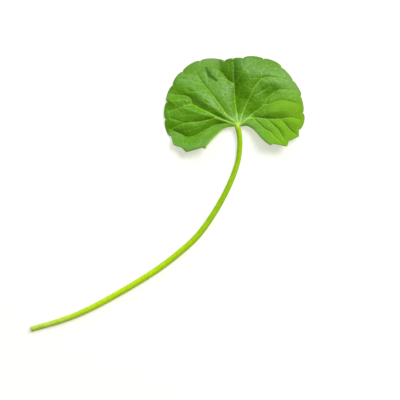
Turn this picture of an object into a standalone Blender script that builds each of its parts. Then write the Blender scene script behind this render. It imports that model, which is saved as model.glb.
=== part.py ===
"""A picked gotu kola leaf lying flat: a kidney-shaped blade with round teeth, and its long stalk.

Plan points are in millimetres from the insertion, where the stalk comes in and the veins meet.
+X runs to the blade's right half, +Y from the stalk to the blade's top edge, and z is the height
over the surface.
"""

import math

import bpy
import numpy as np
from mathutils import Vector
from mathutils.geometry import delaunay_2d_cdt

MM = 0.001

# Driving dimensions, in millimetres
INSERTION = (28.1, 27.2)  # from the middle of the leaf's box
INSERTION_HEIGHT = 2.9
BLADE_THICKNESS = 0.4
PAD_THICKNESS = 1.0  # added where the veins meet
PAD_RADIUS = 2.5
CREST_HEIGHT = 1.4  # the ring that the blade rises to around the insertion
CREST_RADIUS = 15.0
MARGIN_DROP = 3.9  # from the crest down to the outer margin
DROP_START = 13.0  # where the drop begins
MARGIN_RADIUS = 32.0  # where it would be complete
FOLD_REACH = 11.0  # the radius where the folds have about two thirds of their inner height
FOLD_POWER = 1.8
FOLD_CHANGE = (12.0, 27.0)  # the radii between which a fold changes from its inner to its outer height
VEIN_REACH = 9.0  # where the veins' grooves reach their full depth
VEIN_FADE = (20.0, 29.0)  # where they grow shallow again
VEIN_END_DEPTH = 0.5  # the share of its depth that a groove keeps at the margin

# The mesh, in millimetres
LINE_STEP = 0.8
OUTLINE_STEP = 1.06
MESH_STEP = 1.25
GRID_HALF = 40.0
MARGIN_CLEARANCE = 0.69
VEIN_CLEARANCE = 0.63

STALK_RADIUS_TOP = 1.07
STALK_RADIUS_MIDDLE = 1.28
STALK_RADIUS_CUT = 1.1
STALK_END_HEIGHT = 2.05  # centre of the stalk's end, where it meets the blade
STALK_LIFT_LENGTH = 16.0  # the stretch that rises from the surface to the blade
STALK_SINK = 0.93  # centre height over radius, so its underside has a narrow flat strip
STALK_SIDES = 12
STALK_STEP = 1.6

# The notch margins run smoothly through these points, the right one outward and the left one inward
RIGHT_NOTCH_MARGIN = [(1.3, -0.3), (3.6, -0.1), (5.4, -1.0), (7.1, -2.6), (8.9, -4.8), (10.7, -6.6)]
LEFT_NOTCH_MARGIN = [(-12.4, -8.2), (-9.7, -5.1), (-8.0, -3.5), (-6.0, -1.6), (-4.4, -0.8), (-1.3, -0.3)]

# Each tooth: its crown, the notch after it, and whether it is pointed
TEETH = [
    ((12.8, -8.1), (13.9, -7.4), True),
    ((19.4, -8.4), (20.2, -6.2), True),
    ((24.4, -4.3), (24.3, -1.5), True),
    ((26.5, 1.8), (25.8, 5.2), False),
    ((26.2, 7.8), (24.9, 11.8), False),
    ((25.0, 13.8), (21.9, 18.0), False),
    ((20.3, 20.8), (17.4, 23.2), False),
    ((14.9, 25.8), (10.2, 26.6), False),
    ((5.7, 27.8), (2.1, 26.7), False),
    ((-0.5, 27.1), (-1.9, 26.6), False),
    ((-3.7, 26.8), (-5.4, 25.8), False),
    ((-10.3, 27.1), (-15.0, 25.9), False),
    ((-19.1, 24.8), (-22.0, 21.6), False),
    ((-24.7, 19.7), (-25.8, 16.3), False),
    ((-28.2, 13.0), (-28.2, 9.6), False),
    ((-29.5, 5.8), (-28.7, 2.6), False),
    ((-28.7, -1.8), (-26.6, -4.1), False),
    ((-25.8, -7.7), (-22.4, -8.8), True),
    ((-20.6, -10.7), (-14.2, -8.9), True),
    ((-13.0, -9.4), (-12.4, -8.2), True),
]

# Each vein: the depth and half-width of the groove it lies in, and its points
VEINS = {
    "middle": (0.7, 1.6, [(-0.1, 0.8), (-0.5, 4.4), (-1.0, 8.4), (-1.3, 12.4), (-1.4, 16.6), (-1.6, 20.4),
                          (-1.8, 25.2)]),
    "middle_fork": (0.5, 1.2, [(-1.4, 16.6), (-4.8, 19.0), (-6.0, 20.8), (-7.6, 21.6), (-10.3, 24.6)]),
    "left_1": (0.5, 1.6, [(-0.4, 0.6), (-1.7, 2.0), (-4.6, 4.5), (-6.6, 7.3), (-10.7, 12.8), (-14.2, 17.3),
                          (-17.6, 22.2)]),
    "left_2": (0.5, 1.4, [(-0.6, 0.5), (-3.0, 1.2), (-8.3, 3.5), (-14.2, 6.3), (-18.0, 8.2), (-20.5, 8.2),
                          (-23.0, 7.3), (-27.0, 6.0)]),
    "left_2_fork": (0.7, 1.5, [(-18.0, 8.2), (-19.3, 11.2), (-20.9, 12.0), (-25.4, 12.4)]),
    "left_3": (0.5, 1.4, [(-8.3, 3.5), (-10.7, 2.6), (-15.8, 1.6), (-21.5, 1.0), (-25.4, -0.6),
                          (-27.0, -1.4)]),
    "left_4": (0.7, 1.4, [(-0.6, 0.3), (-4.0, 0.7), (-6.6, 0.8), (-9.1, 0.2), (-13.8, -2.0), (-17.5, -3.9),
                          (-20.3, -4.4), (-22.4, -3.4), (-25.6, -2.0)]),
    "right_1": (0.6, 1.6, [(0.4, 0.7), (2.1, 5.6), (5.1, 12.2), (7.5, 16.7), (9.0, 18.4), (12.2, 19.3),
                           (16.5, 18.8), (19.3, 18.2)]),
    "right_2": (0.7, 1.6, [(0.6, 0.6), (3.6, 2.7), (5.9, 4.9), (10.6, 8.6), (11.6, 10.8), (14.7, 13.7)]),
    "right_2_fork": (0.8, 1.4, [(10.6, 8.6), (13.4, 8.8), (15.3, 9.6), (18.4, 10.0), (23.8, 8.8)]),
    "right_3": (0.7, 1.6, [(3.6, 2.7), (5.9, 3.2), (10.7, 2.8), (16.8, 2.7), (20.2, 3.2), (24.5, 2.3)]),
    "right_3_fork": (0.8, 1.3, [(16.8, 2.7), (19.3, 0.0), (20.5, -1.4), (23.2, -3.7)]),
    "right_4": (0.55, 1.2, [(5.9, 3.2), (7.5, 1.5), (11.0, -1.6), (13.0, -2.8), (14.1, -4.4), (17.0, -6.8)]),
}

# Ridges, and wide valleys where the height is below 0: height, half-width, and the points of its line
RIDGES = {
    "under_left_1": (0.25, 1.4, [(-12.6, 10.6), (-15.4, 13.0), (-18.4, 15.0)]),
    "left_2_valley": (-0.6, 1.9, [(-14.6, 7.0), (-16.8, 8.6), (-18.2, 10.4)]),
    "outside_left_2_fork": (0.9, 1.3, [(-20.4, 10.0), (-22.8, 10.3), (-26.4, 10.0)]),
    "upper_right": (2.3, 5.6, [(3.2, 21.2), (6.0, 21.8), (9.4, 21.6), (13.0, 20.4), (16.0, 18.8)]),
    "middle_right_valley": (-1.0, 3.2, [(1.6, 5.2), (2.7, 9.4)]),
    "right_1_2_valley": (-0.7, 3.0, [(6.5, 9.0), (9.5, 12.6)]),
    "middle_fork_valley": (-0.5, 1.8, [(-3.6, 18.0), (-6.4, 21.0), (-8.6, 24.0)]),
    "left_4_valley": (-1.6, 3.2, [(-9.0, 0.4), (-13.8, -2.0), (-17.5, -3.9), (-20.3, -4.4), (-23.0, -4.0),
                                 (-28.0, -2.4)]),
    "right_2_valley": (-0.9, 2.4, [(5.9, 4.9), (10.6, 8.6), (11.6, 10.8), (14.0, 13.2)]),
    "right_3_valley": (-0.8, 2.6, [(7.0, 3.0), (10.7, 2.8), (16.8, 2.7)]),
    "right_3_fork_bank": (0.5, 1.6, [(20.6, 2.6), (23.0, 1.2)]),
    "right_5_bank": (0.3, 1.2, [(15.4, 1.0), (18.2, -1.2), (19.6, -3.8)]),
}

# Heights of the tissue around the insertion, low at the veins and high between them: the angle in
# degrees from +X, the height of the inner blade and of the outer blade
FOLDS = [
    (-60, 4.4, 3.0),
    (-38, 4.2, 3.2),
    (-22, 3.0, 2.2),
    (-12, 1.7, 1.4),  # right_4
    (-2, 1.3, 1.2),
    (9, 1.0, 1.3),  # right_3
    (22, 1.6, 1.9),
    (33, 0.8, 1.3),  # right_2_fork
    (44, 0.3, 1.0),  # right_2
    (56, 0.8, 0.8),
    (67, 0.6, 0.2),  # right_1
    (80, -0.4, 0.2),
    (95, -2.0, -0.3),  # middle
    (112, -1.3, -1.1),
    (129, -0.6, -0.5),  # left_1
    (145, 0.4, 0.6),
    (156, -0.1, 0.1),  # left_2
    (160, 0.8, 0.8),
    (167, 0.5, 0.4),
    (175, 0.1, 0.2),  # left_3
    (183, 0.3, 0.1),
    (192, 0.5, 0.1),
    (205, 1.4, 0.7),
    (216, 2.4, 1.8),
    (240, 3.4, 3.0),
]

# How much of the margin's drop each angle takes: none at the lower left lobe, which stands up
DROPS = [(-60, 0.15), (-38, 0.25), (-15, 0.9), (0, 1.2), (15, 1.2), (40, 1.3), (70, 1.0), (88, 0.25),
         (106, 0.9), (120, 1.0), (165, 0.9), (185, 0.6), (200, 0.1), (240, 0.0)]

# The stalk's route, from the blade to its cut end
STALK_ROUTE = [
    (0.0, -0.85), (0.45, -2.8), (0.8, -6.4), (0.66, -9.8), (0.1, -13.8), (-1.1, -17.9), (-2.7, -22.0),
    (-4.7, -26.3), (-9.8, -35.3), (-16.1, -43.9), (-23.8, -51.0), (-31.4, -56.8), (-39.9, -62.3),
    (-48.1, -67.1), (-56.1, -71.5), (-64.1, -75.3), (-72.1, -78.2), (-79.0, -80.2), (-82.6, -81.2),
]


def clear_scene():
    for obj in list(bpy.data.objects):
        bpy.data.objects.remove(obj, do_unlink=True)


def material(name, color, roughness):
    made = bpy.data.materials.new(name)
    made.use_nodes = True
    shader = made.node_tree.nodes["Principled BSDF"]
    shader.inputs["Base Color"].default_value = (*color, 1.0)
    shader.inputs["Roughness"].default_value = roughness
    shader.inputs["Metallic"].default_value = 0.0
    return made


def smooth_step(low, high, value):
    t = np.clip((value - low) / (high - low), 0.0, 1.0)
    return t * t * (3.0 - 2.0 * t)


def smooth_between(knots, value):
    """A smooth curve through the (place, height) knots, read at every value."""
    places = np.array([knot[0] for knot in knots], float)
    heights = np.array([knot[1] for knot in knots], float)
    slopes = np.gradient(heights, places)
    value = np.clip(value, places[0], places[-1])
    i = np.clip(np.searchsorted(places, value) - 1, 0, len(places) - 2)
    span = places[i + 1] - places[i]
    t = (value - places[i]) / span
    start = (1 + 2 * t) * (1 - t) ** 2 * heights[i] + t * (1 - t) ** 2 * span * slopes[i]
    end = t * t * (3 - 2 * t) * heights[i + 1] + t * t * (t - 1) * span * slopes[i + 1]
    return start + end


def smooth_line(points, step):
    """Points a step apart on a smooth curve through the given points."""
    points = np.array(points, float)
    along = np.concatenate([[0.0], np.cumsum(np.linalg.norm(np.diff(points, axis=0), axis=1))])
    count = max(2, round(along[-1] / step) + 1)
    places = np.linspace(0.0, along[-1], count)
    columns = [smooth_between(list(zip(along, points[:, k])), places) for k in range(points.shape[1])]
    return np.stack(columns, axis=1)


def tooth_curve(notch, crown, next_notch, pointed, step):
    """From one notch over the crown to the next: two elliptic quarters, or two straight runs to a point."""
    notch, crown, next_notch = (np.array(p) for p in (notch, crown, next_notch))
    curve = []
    for near, far, rising in ((notch, next_notch, True), (next_notch, notch, False)):
        chord = (far - near) / np.linalg.norm(far - near)
        foot = near + chord * np.dot(crown - near, chord)
        count = max(2, round(np.linalg.norm(crown - near) / step))
        run = []
        for k in range(count + 1):
            if pointed:
                run.append(near + (crown - near) * k / count)
            else:
                turn = 0.5 * math.pi * k / count
                run.append(near + (foot - near) * (1 - math.cos(turn)) + (crown - foot) * math.sin(turn))
        curve += run if rising else run[::-1][1:]
    return curve


def outline(step):
    """The blade's outline, anticlockwise, as a list of plan points."""
    points = list(smooth_line(RIGHT_NOTCH_MARGIN, step))
    notch = RIGHT_NOTCH_MARGIN[-1]
    for crown, next_notch, pointed in TEETH:
        points += tooth_curve(notch, crown, next_notch, pointed, step)[1:]
        notch = next_notch
    points += list(smooth_line(LEFT_NOTCH_MARGIN, step))[1:]
    return np.array(points)


def distance_to(line, x, y):
    """Distance in plan from each point to a polyline."""
    nearest = np.full(x.shape, np.inf)
    for (ax, ay), (bx, by) in zip(line, line[1:]):
        dx, dy = bx - ax, by - ay
        t = np.clip(((x - ax) * dx + (y - ay) * dy) / (dx * dx + dy * dy), 0.0, 1.0)
        nearest = np.minimum(nearest, np.hypot(x - ax - t * dx, y - ay - t * dy))
    return nearest


def vein_grooves(x, y, radius):
    """Depth of the valleys that the veins lie in, blended where two of them meet."""
    blended = 0.0
    for depth, width, line in VEINS.values():
        blended = blended + (depth * np.exp(-distance_to(smooth_line(line, LINE_STEP), x, y) / width)) ** 3
    reach = smooth_step(0.0, VEIN_REACH, radius)
    reach *= 1.0 - (1.0 - VEIN_END_DEPTH) * smooth_step(*VEIN_FADE, radius)
    return blended ** (1 / 3) * reach


def blade_height(x, y):
    """Height of the blade's upper face, before it is laid on the surface."""
    radius = np.hypot(x, y)
    angle = np.degrees(np.arctan2(y, x))
    angle = np.where(angle < -90.0, angle + 360.0, angle)
    crest = CREST_HEIGHT * smooth_step(0.0, CREST_RADIUS, radius)
    drop = MARGIN_DROP * smooth_between(DROPS, angle) * smooth_step(DROP_START, MARGIN_RADIUS, radius)
    spread = 1.0 - np.exp(-((radius / FOLD_REACH) ** FOLD_POWER))
    outer = smooth_step(*FOLD_CHANGE, radius)
    inner_folds = smooth_between([(knot[0], knot[1]) for knot in FOLDS], angle) * spread
    outer_folds = smooth_between([(knot[0], knot[2]) for knot in FOLDS], angle)
    folds = inner_folds * (1.0 - outer) + outer_folds * outer
    for ridge, width, line in RIDGES.values():
        folds += ridge * np.exp(-((distance_to(smooth_line(line, LINE_STEP), x, y) / width) ** 2))
    return INSERTION_HEIGHT + crest - drop + folds - vein_grooves(x, y, radius)


def blade_faces(x, y):
    """Upper and lower heights. Where the blade would dip below the surface it lies flat on it."""
    thickness = BLADE_THICKNESS + PAD_THICKNESS * np.exp(-((np.hypot(x, y) / PAD_RADIUS) ** 2))
    lower = np.maximum(blade_height(x, y) - thickness, 0.0)
    return lower + thickness, lower


def inside(polygon, x, y):
    """Which points lie inside the closed polygon."""
    found = np.zeros(x.shape, bool)
    for (ax, ay), (bx, by) in zip(polygon, np.roll(polygon, -1, axis=0)):
        crosses = (ay > y) != (by > y)
        with np.errstate(divide="ignore", invalid="ignore"):
            found ^= crosses & (x < (bx - ax) * (y - ay) / (by - ay) + ax)
    return found


def plan_mesh(edge, step):
    """Triangles over the blade's plan, with an edge along every vein."""
    closed = np.vstack([edge, edge[:1]])
    points = list(edge)
    lines = []
    for _, _, line in VEINS.values():
        run = smooth_line(line, step)
        first = len(points)
        points += list(run)
        lines += [(first + k, first + k + 1) for k in range(len(run) - 1)]
    rows = math.ceil(GRID_HALF / step)
    grid = np.array([((i + 0.5 * (j % 2)) * step, j * step * math.sqrt(3) / 2)
                     for j in range(-rows, rows) for i in range(-rows, rows)])
    grid = grid[inside(edge, grid[:, 0], grid[:, 1])]
    clear = distance_to(closed, grid[:, 0], grid[:, 1]) > MARGIN_CLEARANCE
    for _, _, line in VEINS.values():
        clear &= distance_to(smooth_line(line, step), grid[:, 0], grid[:, 1]) > VEIN_CLEARANCE
    points += list(grid[clear])
    spots, _, faces, *_ = delaunay_2d_cdt(
        [Vector(p) for p in points], lines, [list(range(len(edge)))], 1, 1e-5)
    return np.array([tuple(spot) for spot in spots]), [tuple(face) for face in faces]


def mesh_object(name, points, faces, finish):
    mesh = bpy.data.meshes.new(name)
    mesh.from_pydata([tuple(p) for p in points], [], faces)
    mesh.validate()
    mesh.materials.append(finish)
    mesh.shade_smooth()
    made = bpy.data.objects.new(name, mesh)
    bpy.context.scene.collection.objects.link(made)
    made.location = (INSERTION[0] * MM, INSERTION[1] * MM, 0.0)
    return made


def rim_edges(faces):
    """The directed edges that only one triangle has, which is the outline."""
    directed = {(face[k], face[(k + 1) % 3]) for face in faces for k in range(3)}
    return [edge for edge in directed if edge[::-1] not in directed]


def make_blade(finish):
    """The blade: upper and lower faces over one plan, joined by a wall round the margin."""
    plan, faces = plan_mesh(outline(OUTLINE_STEP), MESH_STEP)
    upper, lower = blade_faces(plan[:, 0], plan[:, 1])
    count = len(plan)
    points = np.vstack([np.column_stack([plan, upper]), np.column_stack([plan, lower])]) * MM
    under = [tuple(count + v for v in face[::-1]) for face in faces]
    wall = []
    for a, b in sorted(rim_edges(faces)):
        wall += [(b, a, count + a), (b, count + a, count + b)]
    return mesh_object("blade", points, faces + under + wall, finish)


def stalk_line():
    """Centre points of the stalk and its radius at each, from the blade to the cut end."""
    plan = smooth_line(STALK_ROUTE, STALK_STEP)
    along = np.concatenate([[0.0], np.cumsum(np.linalg.norm(np.diff(plan, axis=0), axis=1))])
    length = along[-1]
    radius = smooth_between([
        (0.0, STALK_RADIUS_TOP), (0.15 * length, STALK_RADIUS_TOP), (0.4 * length, STALK_RADIUS_MIDDLE),
        (0.7 * length, STALK_RADIUS_MIDDLE), (length, STALK_RADIUS_CUT)], along)
    lift = STALK_END_HEIGHT - STALK_SINK * STALK_RADIUS_TOP
    height = STALK_SINK * radius + lift * (1 - smooth_step(0.0, STALK_LIFT_LENGTH, along))
    return np.column_stack([plan, height]), radius


def make_stalk(finish):
    """The stalk: a tapering round tube with square ends, flat underneath where it lies on the surface."""
    centres, radii = stalk_line()
    tangents = np.gradient(centres, axis=0)
    tangents /= np.linalg.norm(tangents, axis=1)[:, None]
    points = []
    for centre, radius, tangent in zip(centres, radii, tangents):
        side = np.array([tangent[1], -tangent[0], 0.0])
        side /= np.linalg.norm(side)
        up = np.cross(side, tangent)
        for k in range(STALK_SIDES):
            turn = 2 * math.pi * (k + 0.5) / STALK_SIDES
            points.append(centre + radius * (math.cos(turn) * side + math.sin(turn) * up))
    points = np.array(points)
    points[:, 2] = np.maximum(points[:, 2], 0.0)
    faces = []
    for ring in range(len(centres) - 1):
        for k in range(STALK_SIDES):
            a = ring * STALK_SIDES + k
            b = ring * STALK_SIDES + (k + 1) % STALK_SIDES
            faces += [(a, b + STALK_SIDES, b), (a, a + STALK_SIDES, b + STALK_SIDES)]
    faces.append(tuple(range(STALK_SIDES)))
    faces.append(tuple(range(len(points) - STALK_SIDES, len(points)))[::-1])
    return mesh_object("stalk", points * MM, faces, finish)


def main():
    clear_scene()
    make_blade(material("blade green", (0.085, 0.27, 0.012), 0.45))
    make_stalk(material("stalk green", (0.36, 0.62, 0.04), 0.35))


main()
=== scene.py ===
"""Looks of a picked gotu kola leaf: its folded, veined blade and its long stalk, on a pale floor.

Plan points are in millimetres from the insertion, where the stalk comes in and the veins meet. +X runs to the
blade's right half, +Y from the stalk to the blade's top edge, and z is the height over the floor.
"""

import math
from collections import namedtuple

import bpy
import numpy as np
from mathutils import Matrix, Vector, noise
from mathutils.geometry import delaunay_2d_cdt
from mathutils.kdtree import KDTree


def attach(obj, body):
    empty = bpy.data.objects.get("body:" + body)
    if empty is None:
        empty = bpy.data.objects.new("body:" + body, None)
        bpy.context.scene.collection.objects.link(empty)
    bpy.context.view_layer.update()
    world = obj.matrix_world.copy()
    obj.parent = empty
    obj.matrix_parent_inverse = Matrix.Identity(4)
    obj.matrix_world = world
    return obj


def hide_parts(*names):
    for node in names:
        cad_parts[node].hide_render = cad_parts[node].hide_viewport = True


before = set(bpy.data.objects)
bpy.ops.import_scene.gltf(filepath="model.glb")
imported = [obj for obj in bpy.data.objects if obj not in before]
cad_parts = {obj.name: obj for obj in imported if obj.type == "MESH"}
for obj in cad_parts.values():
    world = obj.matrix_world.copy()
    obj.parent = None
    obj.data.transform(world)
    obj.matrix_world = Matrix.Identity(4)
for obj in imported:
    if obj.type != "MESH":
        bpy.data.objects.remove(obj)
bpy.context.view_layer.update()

MM = 0.001

# The blade's form, as the CAD solid has it
INSERTION = (28.1, 27.2)  # from the middle of the leaf's box
INSERTION_HEIGHT = 2.9
PAD_THICKNESS = 1.0  # added where the veins meet
PAD_RADIUS = 2.5
CREST_HEIGHT = 1.4
CREST_RADIUS = 15.0
MARGIN_DROP = 3.9
DROP_START = 13.0
MARGIN_RADIUS = 32.0
FOLD_REACH = 11.0
FOLD_POWER = 1.8
FOLD_CHANGE = (12.0, 27.0)  # the radii between which a fold changes from its inner to its outer height
VEIN_REACH = 9.0  # where the veins' grooves reach their full depth
VEIN_FADE = (20.0, 29.0)  # where they grow shallow again
VEIN_END_DEPTH = 0.5
LINE_STEP = 0.8

# The blade's thickness and its margin
BLADE_THICKNESS = 0.4
MARGIN_THICKNESS = 0.24
MARGIN_TAPER = 2.0  # how far in the blade reaches its full thickness
MARGIN_ROLL = 0.25  # how far the margin turns down
ROLL_WIDTH = 0.45
ROLL_POWER = 1.5
EDGE_ROUND = 0.07

# Grooves, ribs and the pale lines along them
CREVICE_SHARE = 0.5  # of a vein's groove: the narrow crevice right beside its rib
CREVICE_WIDTH = 0.45
GROOVE_JOIN = 3  # the power by which grooves join, so that they don't add up where veins meet
RIB_NARROWING = 0.7  # the power by which a rib narrows along its vein
VEIN_LOSS_START = 0.8  # the share of its length from which a vein fades
VEIN_LOSS = 0.3  # the share of a main vein that is lost at its end
FINE_VEIN_LOSS = 0.7
PALE_CHANGE = (0.05, 0.85)  # the shares of a vein's length between which its paleness changes
LEAST_PALE_WIDTH = 0.17
UPPER_RIB = 0.34  # a rib's height over its half-width
UNDER_RIB = 1.25
RIB_SWELLING = (0.9, 3.0)  # how much higher upper ribs are at the insertion, and how far that reaches
KNOT_RADIUS = 1.0  # where the vein bases run together
KNOT_HEIGHT = 0.3
KNOT_REACH = 1.5  # how far the knot's colour runs down the stalk

# Fine relief between the veins
AREOLE_SIZE = 1.9  # the net of the smallest veins
AREOLE_EDGE = 0.3  # how wide its lines are, as a share of that
AREOLE_DOME = 0.045
WEB_SIZE = 4.6  # the coarser web between the named veins
WEB_WIDTH = 0.3
WEB_DEPTH = 0.07
CELLS_HALF = 34.0  # cells reach this far left and right of the insertion, and a little less up and down
CELL_ROW = 0.87  # the distance between rows, as a share of the cells' size
CELL_SHIFT = 0.36  # how far a cell's middle may lie from its regular place, as such a share
AREOLE_SEED = 3
WEB_SEED = 8
BEND = 0.5  # how far both nets are bent, over what distance, and by which layers of noise in x and in y
BEND_SIZE = 3.0
BEND_LAYERS = (11.0, 15.0)
WAVES = [(0.08, 6.0, 1.3), (0.035, 2.4, 4.1)]  # unevenness: height, size and layer of noise
CALM_MARGIN = (0.3, 2.2)  # the distances from the edge between which the fine relief sets in
CALM_MIDDLE = (1.0, 5.0)  # the distances from the insertion

# Meshes
OUTLINE_STEP = 0.26
TOP_STEP = 0.27
UNDER_STEP = 0.42
GRID_HALF = 36.0  # points are laid out this far left and right, and kept where they are inside the outline
VEIN_STEP = 0.13  # along and across each vein on the upper face
VEIN_BAND = 0.62  # how far that finer mesh reaches to each side of a main vein
LEAST_GAP = 0.8  # between points, as a share of their step
EDGE_GAP = 0.45
EDGE_GAP_STEP = 0.3  # the largest step that sets the gap to the edge

# The stalk
STALK_RADIUS_TOP = 1.07
STALK_RADIUS_MIDDLE = 1.28
STALK_RADIUS_CUT = 1.1
STALK_RADII = [(0.0, STALK_RADIUS_TOP), (0.15, STALK_RADIUS_TOP), (0.4, STALK_RADIUS_MIDDLE),
               (0.7, STALK_RADIUS_MIDDLE), (1.0, STALK_RADIUS_CUT)]  # at shares of its length
STALK_END_HEIGHT = 2.05
STALK_LIFT = (1.4, 16.0)  # the lengths from its upper end between which it comes down to the floor
STALK_SINK = 0.93
STALK_FLARE = (0.12, 1.6)  # how much wider it is at its upper end, and how far that reaches
STALK_DOME = 1.2  # the length of its round upper end
STALK_TIP = 0.02
STALK_SIDES = 72
STALK_STEP = 0.35
STALK_RIBS = 9
STALK_RIB_HEIGHT = 0.015
STALK_TWIST = 0.004  # how far its ribs turn, in radians a millimetre
STALK_WAVER = (0.012, 9.0, 7.7)  # its unevenness: height, size and layer of noise
STALK_HEAD = (-0.25, 0.75)  # its round end among the bases of the veins

# Rings of the cut end: the share of the stalk's radius, how far it stands out, and how far it is pith
CUT_RINGS = [
    (0.96, 0.03, 0.35),
    (0.86, 0.02, 0.6),
    (0.72, -0.03, 0.8),
    (0.45, -0.06, 1.0),
    (0.15, -0.07, 1.0),
]

# The photograph's frame
PIXEL = 0.4  # millimetres
IMAGE_SIZE = 400
INSERTION_PIXEL = (237.8, 126.0)
LENS = 150.0
SENSOR = 36.0

# Floor and lights, in metres
FLOOR_HALF = 1.5
LIGHT_DISTANCE = 1.2
LIGHT_SIZE = 0.6

RIGHT_NOTCH_MARGIN = [(1.3, -0.3), (3.6, -0.1), (5.4, -1.0), (7.1, -2.6), (8.9, -4.8), (10.7, -6.6)]
LEFT_NOTCH_MARGIN = [(-12.4, -8.2), (-9.7, -5.1), (-8.0, -3.5), (-6.0, -1.6), (-4.4, -0.8), (-1.3, -0.3)]

# Each tooth: its crown, the notch after it, and whether it is pointed
TEETH = [
    ((12.8, -8.1), (13.9, -7.4), True),
    ((19.4, -8.4), (20.2, -6.2), True),
    ((24.4, -4.3), (24.3, -1.5), True),
    ((26.5, 1.8), (25.8, 5.2), False),
    ((26.2, 7.8), (24.9, 11.8), False),
    ((25.0, 13.8), (21.9, 18.0), False),
    ((20.3, 20.8), (17.4, 23.2), False),
    ((14.9, 25.8), (10.2, 26.6), False),
    ((5.7, 27.8), (2.1, 26.7), False),
    ((-0.5, 27.1), (-1.9, 26.6), False),
    ((-3.7, 26.8), (-5.4, 25.8), False),
    ((-10.3, 27.1), (-15.0, 25.9), False),
    ((-19.1, 24.8), (-22.0, 21.6), False),
    ((-24.7, 19.7), (-25.8, 16.3), False),
    ((-28.2, 13.0), (-28.2, 9.6), False),
    ((-29.5, 5.8), (-28.7, 2.6), False),
    ((-28.7, -1.8), (-26.6, -4.1), False),
    ((-25.8, -7.7), (-22.4, -8.8), True),
    ((-20.6, -10.7), (-14.2, -8.9), True),
    ((-13.0, -9.4), (-12.4, -8.2), True),
]

# A vein: the depth and half-width of its groove, its rib's half-width and how pale it is, both at its start
# and at its end, and its points
Vein = namedtuple("Vein", "depth width rib pale line")

# The veins of the CAD solid
VEINS = {
    "middle": Vein(0.7, 1.6, (0.34, 0.12), (1.00, 0.45), [
        (-0.1, 0.8), (-0.5, 4.4), (-1.0, 8.4), (-1.3, 12.4), (-1.4, 16.6), (-1.6, 20.4), (-1.8, 25.2)]),
    "middle_fork": Vein(0.5, 1.2, (0.16, 0.1), (0.50, 0.30), [
        (-1.4, 16.6), (-4.8, 19.0), (-6.0, 20.8), (-7.6, 21.6), (-10.3, 24.6)]),
    "left_1": Vein(0.5, 1.6, (0.34, 0.12), (1.00, 0.35), [
        (-0.4, 0.6), (-1.7, 2.0), (-4.6, 4.5), (-6.6, 7.3), (-10.7, 12.8), (-14.2, 17.3), (-17.6, 22.2)]),
    "left_2": Vein(0.5, 1.4, (0.34, 0.12), (1.00, 0.60), [
        (-0.6, 0.5), (-3.0, 1.2), (-8.3, 3.5), (-14.2, 6.3), (-18.0, 8.2), (-20.5, 8.2), (-23.0, 7.3),
        (-27.0, 6.0)]),
    "left_2_fork": Vein(0.7, 1.5, (0.18, 0.1), (0.40, 0.30), [
        (-18.0, 8.2), (-19.3, 11.2), (-20.9, 12.0), (-25.4, 12.4)]),
    "left_3": Vein(0.5, 1.4, (0.24, 0.1), (0.80, 0.50), [
        (-8.3, 3.5), (-10.7, 2.6), (-15.8, 1.6), (-21.5, 1.0), (-25.4, -0.6), (-27.0, -1.4)]),
    "left_4": Vein(0.7, 1.4, (0.28, 0.1), (0.60, 0.00), [
        (-0.6, 0.3), (-4.0, 0.7), (-6.6, 0.8), (-9.1, 0.2), (-13.8, -2.0), (-17.5, -3.9), (-20.3, -4.4),
        (-22.4, -3.4), (-25.6, -2.0)]),
    "right_1": Vein(0.6, 1.6, (0.34, 0.12), (0.95, 0.60), [
        (0.4, 0.7), (2.1, 5.6), (5.1, 12.2), (7.5, 16.7), (9.0, 18.4), (12.2, 19.3), (16.5, 18.8),
        (19.3, 18.2)]),
    "right_2": Vein(0.7, 1.6, (0.34, 0.14), (0.95, 0.70), [
        (0.6, 0.6), (3.6, 2.7), (5.9, 4.9), (10.6, 8.6), (11.6, 10.8), (14.7, 13.7)]),
    "right_2_fork": Vein(0.8, 1.4, (0.22, 0.1), (0.80, 0.50), [
        (10.6, 8.6), (13.4, 8.8), (15.3, 9.6), (18.4, 10.0), (23.8, 8.8)]),
    "right_3": Vein(0.7, 1.6, (0.3, 0.1), (1.00, 0.70), [
        (3.6, 2.7), (5.9, 3.2), (10.7, 2.8), (16.8, 2.7), (20.2, 3.2), (24.5, 2.3)]),
    "right_3_fork": Vein(0.8, 1.3, (0.2, 0.1), (0.70, 0.70), [
        (16.8, 2.7), (19.3, 0.0), (20.5, -1.4), (23.2, -3.7)]),
    "right_4": Vein(0.55, 1.2, (0.24, 0.1), (0.60, 0.80), [
        (5.9, 3.2), (7.5, 1.5), (11.0, -1.6), (13.0, -2.8), (14.1, -4.4), (17.0, -6.8)]),
}

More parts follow.
